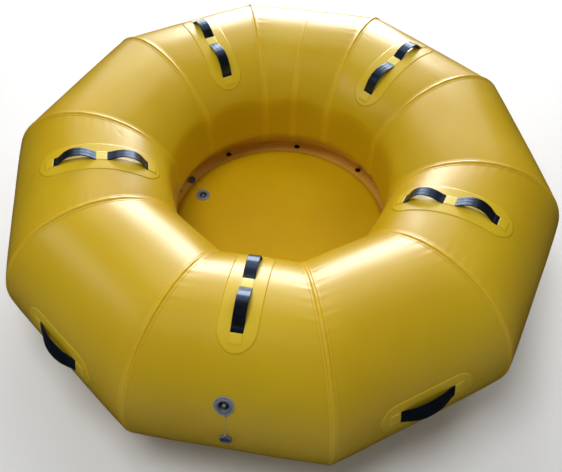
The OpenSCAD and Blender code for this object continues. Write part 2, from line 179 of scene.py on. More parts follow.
class Surface:
    """A Principled material and short ways to add nodes to it."""

    def __init__(self, name, **constants):
        self.material = bpy.data.materials.new(name)
        self.material.use_nodes = True
        self.tree = self.material.node_tree
        self.shader = self.tree.nodes["Principled BSDF"]
        for socket, value in constants.items():
            self.shader.inputs[socket.replace("_", " ")].default_value = value
        self.place = self.tree.nodes.new("ShaderNodeTexCoord").outputs["Object"]

    def add(self, kind, inputs=(), **settings):
        node = self.tree.nodes.new("ShaderNode" + kind)
        for key, value in settings.items():
            setattr(node, key, value)
        for socket, value in dict(inputs).items():
            if isinstance(value, bpy.types.NodeSocket):
                self.tree.links.new(value, node.inputs[socket])
            else:
                node.inputs[socket].default_value = value
        return node

    def math(self, operation, a, b=0.0):
        return self.add("Math", {0: a, 1: b}, operation=operation).outputs[0]

    def noise(self, scale, detail=3.0, place=None):
        inputs = {"Vector": place or self.place, "Scale": scale, "Detail": detail}
        return self.add("TexNoise", inputs).outputs["Fac"]

    def cells(self, scale):
        return self.add("TexVoronoi", {"Vector": self.place, "Scale": scale}).outputs["Distance"]

    def spread(self, value, low, high, to_low=0.0, to_high=1.0):
        inputs = {"Value": value, 1: low, 2: high, 3: to_low, 4: to_high}
        return self.add("MapRange", inputs).outputs["Result"]

    def attribute(self, name):
        return self.add("Attribute", attribute_name=name).outputs["Fac"]

    def mix(self, share, a, b, blend="MIX"):
        inputs = {0: share, 6: a, 7: b}
        return self.add("Mix", inputs, data_type="RGBA", blend_type=blend).outputs[2]

    def cloth(self):
        """The cloth's own coordinates in metres: along it and across it."""
        uv = self.add("UVMap", uv_map="cloth").outputs[0]
        split = self.add("SeparateXYZ", {0: uv})
        return split.outputs[0], split.outputs[1]

    def waves(self, value, pitch):
        """A sine wave of that pitch, from -1 to 1."""
        return self.math("SINE", self.math("MULTIPLY", value, math.tau / pitch))

    def bump(self, height, distance, strength=1.0, normal=None):
        inputs = {"Height": height, "Distance": distance, "Strength": strength}
        if normal is not None:
            inputs["Normal"] = normal
        return self.add("Bump", inputs).outputs[0]

    def set(self, **sockets):
        for socket, value in sockets.items():
            self.tree.links.new(value, self.shader.inputs[socket.replace("_", " ")])
        return self.material


def rgb(red, green, blue):
    return (red, green, blue, 1.0)


def coated_cloth(name, pale, deep, ior=1.54, coat=0.8, roughness=(0.30, 0.44), grain=1.0,
                 soil_and_painted_light=rgb(0.20, 0.11, 0.006)):
    """Glossy PVC over a fine scrim: soft tone changes, scuffs, a faint weave, dirt with painted shade in
    its seams and at patch rims, and a painted highlight along cover rims.
    """
    s = Surface(name, IOR=ior, Coat_Weight=coat, Coat_Roughness=0.28)
    tone = s.spread(s.noise(2.6, 4.0), 0.35, 0.65)
    mottle = s.spread(s.noise(38.0, 3.0), 0.3, 0.7)
    colour = s.mix(tone, deep, pale)
    colour = s.mix(s.math("MULTIPLY", mottle, 0.10), colour, deep)
    # Darkens towards dark brown where the mesh attribute is above zero: dirt with painted contact shade
    # along seam tapes, painted shade at patch rims.
    grime_and_painted_light = s.attribute("soil_and_painted_light")
    colour = s.mix(s.math("MAXIMUM", s.math("MULTIPLY", grime_and_painted_light, 0.75), 0.0), colour, soil_and_painted_light)
    # Lightens towards pale cream where the attribute is below zero: a painted highlight along the rims of
    # the tabs and keepers.
    painted_rim_highlight = s.math("MAXIMUM", s.math("MULTIPLY", grime_and_painted_light, -0.8), 0.0)
    colour = s.mix(painted_rim_highlight, colour, rgb(0.90, 0.80, 0.34))
    scuffs = s.spread(s.noise(9.0, 8.0), 0.60, 0.74)
    streaks = s.spread(s.noise(120.0, 2.0), 0.35, 0.8)
    low, high = roughness
    rough = s.spread(s.noise(5.0, 5.0), 0.3, 0.7, low, high)
    rough = s.math("ADD", rough, s.math("MULTIPLY", scuffs, 0.10))
    rough = s.math("ADD", rough, s.math("MULTIPLY", streaks, 0.03))
    along, across = s.cloth()
    scrim_pitch = 1.3 * MM
    weave = s.math("MULTIPLY", s.waves(along, scrim_pitch), s.waves(across, scrim_pitch))
    normal = s.bump(weave, 0.006 * MM * grain, 0.7)
    normal = s.bump(s.noise(420.0, 2.0), 0.035 * MM * grain, 0.6, normal)
    normal = s.bump(s.noise(26.0, 3.0), 0.25 * MM, 0.45, normal)
    return s.set(Base_Color=colour, Roughness=rough, Normal=normal)


def webbing_material():
    """Black polypropylene webbing: ribs along it, crossed by a diagonal weave, with a bluish sheen."""
    s = Surface("webbing", IOR=2.0, Sheen_Weight=0.03, Sheen_Roughness=0.4)
    s.shader.inputs["Sheen Tint"].default_value = rgb(0.50, 0.64, 1.0)
    s.shader.inputs["Specular Tint"].default_value = rgb(0.44, 0.64, 1.0)
    along, across = s.cloth()
    rib_pitch = 3.2 * MM
    twill_pitch = 2.4 * MM
    ribs = s.waves(across, rib_pitch)
    diagonal = s.math("ADD", along, s.math("MULTIPLY", ribs, 0.5 * MM))
    twill = s.waves(diagonal, twill_pitch)
    height = s.math("ADD", s.math("MULTIPLY", ribs, 0.6), s.math("MULTIPLY", twill, 0.5))
    fuzz = s.noise(900.0, 2.0)
    thread = s.spread(height, -1.0, 1.0)
    worn = s.spread(s.noise(35.0, 5.0), 0.52, 0.72)
    colour = s.mix(thread, rgb(0.002, 0.0025, 0.004), rgb(0.009, 0.011, 0.016))
    colour = s.mix(s.math("MULTIPLY", worn, 0.35), colour, rgb(0.022, 0.025, 0.032))
    rough = s.spread(thread, 0.0, 1.0, 0.36, 0.25)
    normal = s.bump(fuzz, 0.03 * MM, 0.5)
    normal = s.bump(height, 0.11 * MM, 0.6, normal)
    return s.set(Base_Color=colour, Roughness=rough, Normal=normal)


def moulded(name, pale, deep, roughness=(0.30, 0.48), grain=0.04, metal=0.0):
    """A moulded or metal piece: a little tone, worn gloss and a fine grain."""
    s = Surface(name, IOR=1.47, Metallic=metal)
    tone = s.spread(s.noise(90.0, 4.0), 0.3, 0.7)
    colour = s.mix(tone, deep, pale)
    dust = s.spread(s.noise(260.0, 5.0), 0.55, 0.8)
    colour = s.mix(s.math("MULTIPLY", dust, 0.2), colour, deep)
    # Darkens by the mesh attribute of dirt and painted shade; every piece in these materials leaves it at
    # zero.
    colour = s.mix(s.math("MULTIPLY", s.attribute("soil_and_painted_light"), 0.7), colour, rgb(0.02, 0.02, 0.02))
    rough = s.spread(s.noise(150.0, 3.0), 0.3, 0.7, *roughness)
    normal = s.bump(s.noise(1500.0, 2.0), grain * MM, 0.5)
    return s.set(Base_Color=colour, Roughness=rough, Normal=normal)


def thread_material(name, pale, deep):
    """Twisted thread."""
    s = Surface(name, IOR=1.45, Sheen_Weight=0.2)
    colour = s.mix(s.spread(s.noise(2500.0, 2.0), 0.3, 0.7), deep, pale)
    rough = s.spread(s.noise(1800.0, 2.0), 0.3, 0.7, 0.5, 0.7)
    normal = s.bump(s.noise(3000.0, 2.0), 0.05 * MM, 0.6)
    return s.set(Base_Color=colour, Roughness=rough, Normal=normal)


def make_materials():
    return {
        "ring_skin": coated_cloth("ring_skin", rgb(0.60, 0.400, 0.004), rgb(0.55, 0.350, 0.003)),
        "seam_tape": coated_cloth("seam_tape", rgb(0.68, 0.445, 0.008), rgb(0.62, 0.385, 0.005)),
        "patch": coated_cloth("patch", rgb(0.66, 0.455, 0.006), rgb(0.61, 0.410, 0.004)),
        "tab": coated_cloth("tab", rgb(0.68, 0.485, 0.010), rgb(0.63, 0.435, 0.006)),
        "strap_cover": coated_cloth("strap_cover", rgb(0.82, 0.66, 0.105), rgb(0.74, 0.57, 0.060)),
        # The floor's skin is redder than the ring's: painted warm light bounced from the ring's walls,
        # over its own yellow.
        "floor_skin": coated_cloth("floor_skin", rgb(0.61, 0.375, 0.004), rgb(0.56, 0.325, 0.003),
                                   ior=1.30, coat=0.0, roughness=(0.46, 0.60), grain=1.6),
        # The skirt's orange-brown: painted warm light bounced from the ring into the crevice, over the
        # skirt's own orange.
        "skirt": coated_cloth("skirt", rgb(0.84, 0.500, 0.080), rgb(0.78, 0.450, 0.060),
                              ior=1.30, coat=0.0, roughness=(0.48, 0.60), grain=1.5),
        "webbing": webbing_material(),
        "eyelet": moulded("eyelet", rgb(0.006, 0.006, 0.007), rgb(0.002, 0.002, 0.0025)),
        "valve_flange": moulded("valve_flange", rgb(0.25, 0.275, 0.34), rgb(0.19, 0.21, 0.27)),
        "valve_body": moulded("valve_body", rgb(0.16, 0.18, 0.22), rgb(0.11, 0.125, 0.16)),
        "valve_button": moulded("valve_button", rgb(0.30, 0.30, 0.30), rgb(0.20, 0.20, 0.20)),
        "spring_wire": moulded("spring_wire", rgb(0.62, 0.62, 0.60), rgb(0.50, 0.50, 0.49),
                               roughness=(0.2, 0.34), metal=1.0),
        "valve_cap": moulded("valve_cap", rgb(0.16, 0.18, 0.22), rgb(0.09, 0.10, 0.125)),
        "tether": moulded("tether", rgb(0.50, 0.44, 0.32), rgb(0.42, 0.36, 0.25)),
        "thread": thread_material("thread", rgb(0.62, 0.60, 0.54), rgb(0.48, 0.46, 0.40)),
        "black_thread": thread_material("black_thread", rgb(0.10, 0.115, 0.15), rgb(0.06, 0.07, 0.09)),
        "yellow_thread": thread_material("yellow_thread", rgb(0.95, 0.90, 0.66), rgb(0.86, 0.79, 0.50)),
    }


# ---- Meshes ----

def grid_corners(rows, cols, wrap_rows, wrap_cols):
    """The four (row, column) corners of each quad of a grid, before wrapping."""
    i, j = np.meshgrid(
        np.arange(rows if wrap_rows else rows - 1),
        np.arange(cols if wrap_cols else cols - 1),
        indexing="ij",
    )
    i, j = i.ravel(), j.ravel()
    return np.stack([np.stack(p, 1) for p in ((i, j), (i, j + 1), (i + 1, j + 1), (i + 1, j))], 1)


def make_object(name, vertices, faces, uvs=None, soil_and_painted_light=None, weld=False, sharp=None):
    """A smooth mesh object with the cloth's coordinates, its attribute of dirt and painted light, and
    outward normals.
    """
    mesh = bpy.data.meshes.new(name)
    mesh.from_pydata(np.asarray(vertices).tolist(), [], [list(map(int, f)) for f in faces])
    if uvs is not None:
        layer = mesh.uv_layers.new(name="cloth")
        layer.data.foreach_set("uv", np.asarray(uvs, np.float32).ravel())
    attribute = mesh.attributes.new("soil_and_painted_light", "FLOAT", "POINT")
    values = np.zeros(len(vertices)) if soil_and_painted_light is None else soil_and_painted_light
    attribute.data.foreach_set("value", np.asarray(values, np.float32))
    shape = bmesh.new()
    shape.from_mesh(mesh)
    if weld:
        bmesh.ops.remove_doubles(shape, verts=shape.verts, dist=0.001 * MM)
    bmesh.ops.recalc_face_normals(shape, faces=shape.faces)
    shape.to_mesh(mesh)
    shape.free()
    mesh.shade_smooth()
    if sharp is not None:
        mesh.set_sharp_from_angle(angle=math.radians(sharp))
    made = bpy.data.objects.new(name, mesh)
    bpy.context.scene.collection.objects.link(made)
    return made


def sheet_object(name, top, bottom, uv, soil_and_painted_light=None, wrap_rows=False, sharp=50, weld=False):
    """A closed sheet between two grids of points. uv has one more row than the grid if it wraps."""
    rows, cols = top.shape[:2]
    corners = grid_corners(rows, cols, wrap_rows, False)
    index = (corners[..., 0] % rows) * cols + corners[..., 1]
    face_uv = uv[corners[..., 0], corners[..., 1]]
    under = rows * cols
    faces = [index, index[:, ::-1] + under]
    face_uvs = [face_uv, face_uv[:, ::-1]]
    i = np.arange(rows if wrap_rows else rows - 1)
    for j in (0, cols - 1):
        a, b = i * cols + j, ((i + 1) % rows) * cols + j
        faces.append(np.stack([a, b, b + under, a + under], 1))
        face_uvs.append(np.stack([uv[i, j], uv[i + 1, j], uv[i + 1, j], uv[i, j]], 1))
    if not wrap_rows:
        j = np.arange(cols - 1)
        for i in (0, rows - 1):
            a, b = i * cols + j, i * cols + j + 1
            faces.append(np.stack([a, b, b + under, a + under], 1))
            face_uvs.append(np.stack([uv[i, j], uv[i, j + 1], uv[i, j + 1], uv[i, j]], 1))
    vertices = np.concatenate([top.reshape(-1, 3), bottom.reshape(-1, 3)])
    grime_and_painted_light = None if soil_and_painted_light is None else np.concatenate([soil_and_painted_light.ravel(), soil_and_painted_light.ravel()])
    return make_object(name, vertices, np.concatenate(faces), np.concatenate(face_uvs), grime_and_painted_light,
                       weld=weld, sharp=sharp)


def rounded(points, radius, steps=4):
    """A closed outline with each corner rounded off, never past half of an edge."""
    out = []
    p = [np.array(q, float) for q in points]
    for k in range(len(p)):
        before, corner, after = p[k - 1], p[k], p[(k + 1) % len(p)]
        to_before, to_after = before - corner, after - corner
        cut = min(radius, np.linalg.norm(to_before) / 2, np.linalg.norm(to_after) / 2)
        a = corner + to_before / np.linalg.norm(to_before) * cut
        b = corner + to_after / np.linalg.norm(to_after) * cut
        for t in np.linspace(0, 1, steps):
            out.append((1 - t) ** 2 * a + 2 * t * (1 - t) * corner + t * t * b)
    return np.array(out)


def lathe(name, outline, place, segments=72, wave=None, soil_and_painted_light=None, sharp=40):
    """Turns a closed (radius, height) outline round the place's Z. wave(turn, r, z) moves the radius."""
    outline = np.asarray(outline, float)
    turns = np.arange(segments) * math.tau / segments
    a, r = np.meshgrid(turns, outline[:, 0], indexing="ij")
    z = np.broadcast_to(outline[:, 1], a.shape)
    radius = np.maximum(r if wave is None else r + wave(a, r, z), 0)
    local = np.stack([radius * np.cos(a), radius * np.sin(a), z], 2).reshape(-1, 3)
    world = local @ np.array(place.to_3x3()).T + np.array(place.translation)
    rows, cols = a.shape
    corners = grid_corners(rows, cols, True, True)
    index = (corners[..., 0] % rows) * cols + corners[..., 1] % cols
    edges = np.linalg.norm(np.diff(outline, axis=0, append=outline[:1]), axis=1)
    walked = np.concatenate([[0], np.cumsum(edges)])
    reach = outline[:, 0].max()
    uvs = np.stack([corners[..., 0] * math.tau / segments * reach, walked[corners[..., 1]]], 2)
    grime_and_painted_light = None if soil_and_painted_light is None else np.tile(np.asarray(soil_and_painted_light, float), rows)
    return make_object(name, world, index, uvs, grime_and_painted_light, weld=True, sharp=sharp)


def tube_along(name, points, radius, sides=10, closed=False):
    """A round wire or thread through the points, with flat ends."""
    p = np.asarray(points, float)
    ahead = np.roll(p, -1, 0) - np.roll(p, 1, 0)
    if not closed:
        ahead[0], ahead[-1] = p[1] - p[0], p[-1] - p[-2]
    ahead /= np.linalg.norm(ahead, axis=1)[:, None]
    side = np.cross(ahead, [0.31, 0.17, 0.93])
    side /= np.linalg.norm(side, axis=1)[:, None]
    over = np.cross(ahead, side)
    turns = np.arange(sides) * math.tau / sides
    rings = p[:, None] + radius * (
        np.cos(turns)[None, :, None] * side[:, None] + np.sin(turns)[None, :, None] * over[:, None]
    )
    corners = grid_corners(len(p), sides, closed, True)
    index = (corners[..., 0] % len(p)) * sides + corners[..., 1] % sides
    faces = index.tolist()
    uvs = np.stack([corners[..., 0] * radius, corners[..., 1] * radius], 2).reshape(-1, 2).tolist()
    if not closed:
        faces += [list(range(sides)), list(range((len(p) - 1) * sides, len(p) * sides))]
        uvs += [[0, 0]] * (2 * sides)
    return make_object(name, rings.reshape(-1, 3), faces, uvs)


def dress(piece, body, slot, replaces=(), look=None):
    """Gives a piece its material, picked by slot or look, the body it rides on, and hides the nodes it
    stands for.
    """
    piece.data.materials.append(MATERIALS[look or slot])
    if body:
        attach(piece, body)
    if replaces:
        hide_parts(*replaces)
    return piece


# ---- The ring's surface ----

def smooth_least(a, b, blend):
    """The lesser of two, with a rounded change from one to the other."""
    return np.minimum(a, b) - blend * np.log1p(np.exp(-np.abs(a - b) / blend))


def reach_of(theta, along):
    """How far the skin is from the tube's centreline: the tube's radius, or less at the hole's wall."""
    reach_max = 0.45
    c, s = np.cos(theta), np.sin(theta)

    def clear(d):
        z = TUBE_R + d * s
        wall = HOLE_R + FLARE_SLOPE * np.maximum(0.0, FLARE_Z - z)
        return np.hypot(FLAT_R + d * c, along) - wall

    low, high = np.zeros_like(c + along), np.full_like(c + along, reach_max)
    hit = clear(high) < 0
    for _ in range(26):
        middle = (low + high) / 2
        out = clear(middle) > 0
        low, high = np.where(out, middle, low), np.where(out, high, middle)
    return smooth_least(TUBE_R, np.where(hit, low, 1.0), 7 * MM)


def seam_along(theta):
    """Where each angle's seam is, along the panel from its middle."""
    along = np.full_like(theta, 0.2)
    for _ in range(6):
        along = (FLAT_R + reach_of(theta, along) * np.cos(theta)) * math.tan(HALF_TURN)
    return along


def streak(across, length_share, width):
    """A long fold: a ridge with a furrow beside it, fading at both ends."""
    fade = np.clip(1 - length_share ** 2, 0, 1) ** 1.5
    return fade * np.exp(-(across / width) ** 2) * np.cos(across / width * 2.2)


# Small creases in the skin: panel azimuth, section angle, place along, half length, turn in degrees.
CREASES = (
    (-54, 86, -0.035, 0.016, 10), (-18, 128, 0.105, 0.030, 60), (18, 64, 0.070, 0.024, 100),
    (54, 78, -0.120, 0.055, 75), (54, 120, -0.100, 0.060, 70), (-90, 118, 0.150, 0.030, 80),
    (198, 112, -0.120, 0.034, 40), (162, 60, 0.020, 0.026, 20), (126, 74, -0.130, 0.040, 75),
    (234, 74, 0.080, 0.030, 120), (270 - 360, 52, -0.120, 0.024, 30), (90, 70, -0.060, 0.028, 50),
)


def relief(azimuth, theta, along, edge):
    """How far the inflated skin stands out from its plain shape: swell, seam pull, folds, creases."""
    rng = np.random.default_rng(int(azimuth) % 360)
    turn = np.mod(np.degrees(theta), 360)
    arc = np.radians(turn) * TUBE_R
    outside = np.clip(np.cos(theta), 0, 1)
    settle = 1 - np.exp(-np.maximum(edge, 0) / 0.05)
    height = 2.6 * MM * settle - 0.8 * MM
    height = height - 1.6 * MM * outside * np.exp(-(edge / 0.022) ** 2)
    for length in (0.46, 0.31, 0.22, 0.15):
        lean, phase, skew = rng.uniform(0, math.tau, 3)
        wave = np.sin(arc * math.tau / length + phase) * np.sin(along * math.tau / length + lean)
        height = height + 0.9 * MM * length * wave * settle * (0.6 + 0.4 * math.sin(skew))
    puckers = np.zeros_like(arc)
    for pitch, share in ((0.034, 1.0), (0.021, 0.6)):
        shift = rng.uniform(0, math.tau)
        puckers = puckers + share * np.sin(arc * math.tau / pitch + shift + along * 6)
    patchy = np.clip(np.sin(arc * 9.1 + rng.uniform(0, 6)) + 0.25, 0, 1)
    top_side = np.exp(-((turn - 100) / 42) ** 4)
    near_seam = np.exp(-edge / 0.026) * np.clip(edge / (12 * MM), 0, 1)
    height = height + 0.75 * MM * puckers * patchy * top_side * near_seam
    if azimuth in TOP_AZIMUTHS:
        strength = 2.6 * MM if azimuth == 198 else 0.8 * MM
        for offset, lean in ((-0.030, -0.10), (-0.004, 0.02), (0.026, 0.12)):
            tip = math.radians(58) * TUBE_R
            down = (tip - arc) / 0.125
            across = along - offset - lean * (tip - arc)
            height = height - strength * streak(across, 2 * down - 1, 8 * MM) * (np.abs(2 * down - 1) < 1)
    for where, angle, place, half, spin in CREASES:
        if where == azimuth:
            x, y = along - place, arc - math.radians(angle) * TUBE_R
            c, s = math.cos(math.radians(spin)), math.sin(math.radians(spin))
            run, over = x * c + y * s, y * c - x * s
            bowed = over - run * run / (2.2 * half)
            share = np.clip(np.abs(run) / half, 0, 1)
            height = height - 1.1 * MM * streak(bowed, share, 5 * MM)
    return np.where(np.abs(turn - 270) < 50, np.minimum(height, 0), height)


def skin_points(azimuth, theta, along, lift=0.0):
    """World points on the inflated skin. theta is in radians, and all the inputs may be grids."""
    theta, along = np.broadcast_arrays(np.asarray(theta, float), np.asarray(along, float))
    edge = (seam_along(theta) - np.abs(along)) * math.cos(HALF_TURN)
    reach = reach_of(theta, along) + relief(azimuth, theta, along, edge) + lift
    out = FLAT_R + reach * np.cos(theta)
    up = TUBE_R + reach * np.sin(theta)
    a = math.radians(azimuth)
    return np.stack([out * math.cos(a) - along * math.sin(a),
                     out * math.sin(a) + along * math.cos(a), up], -1)


def tube_place(azimuth, angle, lift=0.0, aside=0.0):
    """The frame on the tube whose Z is the outward normal and whose X leads to smaller angles."""
    a, e = math.radians(azimuth), math.radians(angle)
    out = Vector((math.cos(a), math.sin(a), 0))
    sideways = Vector((-math.sin(a), math.cos(a), 0))
    normal = out * math.cos(e) + Vector((0, 0, math.sin(e)))
    lower = out * math.sin(e) - Vector((0, 0, math.cos(e)))
    place = Matrix((lower, sideways, normal)).transposed().to_4x4()
    centre = out * FLAT_R + Vector((0, 0, TUBE_R)) + sideways * aside
    place.translation = centre + normal * (TUBE_R + lift)
    return place


def ring_valve_place():
    return tube_place(VALVE_AZIMUTH, RING_VALVE_ANGLE, 0.0, RING_VALVE_OFFSET)


def bore(piece, place, diameter):
    """Cuts a round hole through a piece's skin, along the place's Z."""
    bpy.ops.mesh.primitive_cylinder_add(vertices=48, radius=diameter / 2, depth=60 * MM)
    cutter = bpy.context.object
    cutter.matrix_world = place
    cut = piece.modifiers.new("bore", "BOOLEAN")
    cut.object = cutter
    cut.solver = "EXACT"
    with bpy.context.temp_override(object=piece, active_object=piece, selected_objects=[piece]):
        bpy.ops.object.modifier_apply(modifier=cut.name)
    bpy.data.objects.remove(cutter)


def panel_angles():
    """Section angles of a panel's rows, in radians: close together where the skin is seen best."""
    fine = np.arange(-6, 164, 1.15)
    coarse = np.linspace(164, 354, 58, endpoint=False)
    return np.radians(np.concatenate([fine, coarse]))


def make_panel(number):
    azimuth = VALVE_AZIMUTH + TURN * (number - 1)
    key = azimuth if azimuth <= 234 else azimuth - 360
    theta = panel_angles()
    step = np.linspace(-1, 1, 49)
    share = 0.45 * step + 0.55 * np.sin(step * math.pi / 2)
    ends = seam_along(theta)
    grid_theta = np.repeat(theta[:, None], len(share), 1)
    along = ends[:, None] * share[None, :]
    top = skin_points(key, grid_theta, along)
    under = skin_points(key, grid_theta, along, -SKIN_T)
    arc = np.concatenate([theta, [theta[0] + math.tau]]) * TUBE_R
    uv = np.stack([np.concatenate([along, along[:1]]), np.repeat(arc[:, None], len(share), 1)], 2)
    panel = sheet_object(f"panel_skin_{number}", top, under, uv, wrap_rows=True)
    if number == 1:
        bore(panel, ring_valve_place(), SKIN_HOLE_D)
    return dress(panel, "root", "ring_skin", [f"ring_panel_{number}"])


# ---- Seams ----

TAPE_W = 30 * MM
TAPE_T = 1.1 * MM
BEAD_W = 15 * MM
BEAD_H = 4.6 * MM


def tape_section(width, bead_w, bead_h):
    """Across a tape: distances from its middle, lifts for its flat part and for its bead, and a darkening
    at its edges and at the bead's foot: dirt, with painted contact shade.
    """
    half = width / 2
    x = np.array([-1, -0.93, -0.86, -0.8, -0.66, -0.5, -0.4, -0.3, -0.2, -0.1, 0])
    x = np.concatenate([x, -x[-2::-1]]) * half
    flat = np.where(np.abs(x) > 0.9 * half, 0.15 * MM, TAPE_T)
    bead = bead_h * np.cos(np.clip(x / bead_w * math.pi, -math.pi / 2, math.pi / 2)) ** 1.3
    # Dark lines at the tape's edges: dirt in the edges, with painted shade.
    grime_and_painted_light = np.where(np.abs(x) > 0.9 * half, 0.8, 0.0)
    # Painted contact shade: a dark line along the foot of the bead.
    foot = np.exp(-((np.abs(x) - bead_w * 0.52) / (1.4 * MM)) ** 2)
    return x, flat, bead, np.maximum(grime_and_painted_light, 0.8 * foot)


def make_seam(number):
    """The raised, rounded tape between one panel and the next, fading out on the outer face."""
    azimuth = VALVE_AZIMUTH + TURN * (number - 1)
    keys = [a if a <= 234 else a - 360 for a in (azimuth, azimuth + TURN)]
    theta = np.radians(np.concatenate([np.arange(-82, -10, 3.0), np.arange(-10, 219, 1.5)]))
    x, flat, bead, grime_and_painted_light = tape_section(TAPE_W, BEAD_W, BEAD_H)
    turn = np.degrees(theta)[:, None]
    rise = np.exp(-((turn - 92) / 48) ** 4)
    ripple = 1 + 0.10 * np.sin(theta[:, None] * 37 + number) * rise
    lift = flat[None, :] + bead[None, :] * rise * ripple
    ends = seam_along(theta)[:, None]
    first = x[None, :] <= 0
    along = ends - np.abs(x)[None, :] / math.cos(HALF_TURN)
    grid_theta = np.repeat(theta[:, None], len(x), 1)
    layers = []
    for height in (lift, np.full_like(lift, -0.9 * MM)):
        a = skin_points(keys[0], grid_theta, along, height)
        b = skin_points(keys[1], grid_theta, -along, height)
        layers.append(np.where(first[..., None], a, b))
    uv = np.stack([np.repeat(x[None, :], len(theta), 0), grid_theta * TUBE_R], 2)
    # Dirt with painted shade along the tape's edges and the bead's foot, stronger on top where the bead
    # stands high.
    soil_and_painted_light = grime_and_painted_light[None, :] * (0.20 + 0.40 * rise)
    seam = sheet_object(f"seam_tape_{number}", *layers, uv, soil_and_painted_light, sharp=60)
    return dress(seam, "root", "seam_tape", ["seam_tapes"])


def make_closing_seam():
    """The tape along the seam that closes the ring, in the middle of the rear panel."""
    azimuth = VALVE_AZIMUTH + 180
    offset = 10 * MM
    width = 26 * MM
    theta = np.radians(np.arange(43, 218, 1.5))
    x, flat, bead, grime_and_painted_light = tape_section(width, 9 * MM, 1.6 * MM)
    rise = np.exp(-((np.degrees(theta)[:, None] - 95) / 34) ** 4)
    lift = flat[None, :] + bead[None, :] * rise
    grid_theta = np.repeat(theta[:, None], len(x), 1)
    along = np.repeat(x[None, :] + offset, len(theta), 0)
    top = skin_points(azimuth, grid_theta, along, lift)
    under = skin_points(azimuth, grid_theta, along, -0.6 * MM)
    uv = np.stack([along, grid_theta * TUBE_R], 2)
    # Dirt with painted shade along the tape's edges and the bead's foot, stronger on top where the bead
    # stands high.
    soil_and_painted_light = grime_and_painted_light[None, :] * (0.15 + 0.30 * rise)
    seam = sheet_object("closing_tape", top, under, uv, soil_and_painted_light, sharp=60)
    return dress(seam, "root", "seam_tape", ["closing_seam_tape"])


# ---- Patches, covers and webbing ----

def stadium_grid(length, width):
    """Points of a flat round-ended patch, ring by ring from its middle line to past its edge, with lifts
    and a darkening at the rim.
    """
    half, spine = width / 2, (length - width) / 2
    caps, sides = np.radians(np.linspace(-90, 90, 25)), np.linspace(1, -1, 41)[1:-1]
    walk = [(spine, math.cos(p), math.sin(p)) for p in caps]
    walk += [(spine * k, 0.0, 1.0) for k in sides]
    walk += [(-spine, -math.cos(p), -math.sin(p)) for p in caps]
    walk += [(-spine * k, 0.0, -1.0) for k in sides]
    walk = np.array(walk)
    bevel = 2.6 * MM
    inner = np.linspace(0, half - bevel, 12)
    turn = np.radians(np.linspace(0, 90, 5)[1:])
    radii = np.concatenate([inner, half - bevel + bevel * np.sin(turn), [half + GLUE_W]])
    lifts = np.concatenate([np.full(12, 1.0), np.cos(turn) * 0.9 + 0.1, [0.04]])
    # A thin darkening at the rim: the glue line, with painted shade along the edge's step.
    soil_and_painted_light = np.concatenate([np.zeros(12), [0, 0.0, 0.05, 0.26], [0.22]])
    x = walk[:, 0][:, None] + radii[None, :] * walk[:, 1][:, None]
    y = radii[None, :] * walk[:, 2][:, None]
    return x, y, np.broadcast_to(lifts, x.shape), np.broadcast_to(soil_and_painted_light, x.shape)


def make_patch(name, azimuth, angle, length, width, lengthwise, replaces):
    """A welded patch on the tube, long round the tube or long along the panel (lengthwise)."""
    x, y, share, soil_and_painted_light = stadium_grid(length, width)
    along, down = (x, -y) if lengthwise else (y, x)
    theta = math.radians(angle) - np.arcsin(down / PATCH_R)
    top = skin_points(azimuth, theta, along, share * PATCH_LIFT)
    under = skin_points(azimuth, theta, along, -0.5 * MM)
    uv = np.stack([x, y], 2)
    uv = np.concatenate([uv, uv[:1]])
    patch = sheet_object(name, top, under, uv, soil_and_painted_light, wrap_rows=True, sharp=70, weld=True)
    return dress(patch, "root", "patch", replaces)


# The arches' heights along their spans, as shares of the crest: steep at the ends, low by a keeper.
OUTER_ARCH = ((0, 0), (0.11, 0.03), (0.19, 0.24), (0.31, 0.64), (0.45, 0.93), (0.56, 1.0),
              (0.68, 0.94), (0.82, 0.64), (0.93, 0.24), (1, 0.02))
INNER_ARCH = ((0, 0), (0.07, 0.08), (0.16, 0.38), (0.28, 0.76), (0.42, 0.98), (0.50, 1.0),
              (0.62, 0.93), (0.78, 0.58), (0.91, 0.20), (1, 0.02))
SIDE_ARCH = ((0, 0), (0.06, 0.14), (0.15, 0.48), (0.28, 0.83), (0.42, 0.99), (0.5, 1.0),
             (0.58, 0.99), (0.72, 0.83), (0.85, 0.48), (0.94, 0.14), (1, 0))


def smoothed(line, reach=7, width=3.4):
    """The line with its corners softened and its ends kept."""
    kernel = np.exp(-(np.arange(-reach, reach + 1) / width) ** 2)
    kernel /= kernel.sum()
    wide = np.concatenate([2 * line[0] - line[reach:0:-1], line, 2 * line[-1] - line[-2:-reach - 2:-1]])
    return np.convolve(wide, kernel, "valid")


def strap_path(feet, arch, rise, span, skew):
    """A strap's centreline as (run, height): a flat foot, an arch from 0 to span, a flat foot."""
    first, last = feet
    share, level = np.array(arch, float).T
    t = np.linspace(0, 1, 90)
    run = span * (t + skew * np.sin(t * math.pi) ** 2)
    height = rise * np.interp(t, share, level)
    run = np.concatenate([np.linspace(-first, 0, 16)[:-1], run, span + np.linspace(0, last, 16)[1:]])
    height = np.concatenate([np.zeros(15), height, np.zeros(15)])
    walked = np.concatenate([[0], np.cumsum(np.hypot(np.diff(run), np.diff(height)))])
    even = np.linspace(0, walked[-1], 130)
    run, height = (smoothed(np.interp(even, walked, line)) for line in (run, height))
    return np.stack([run, np.maximum(height, 0)], 1)


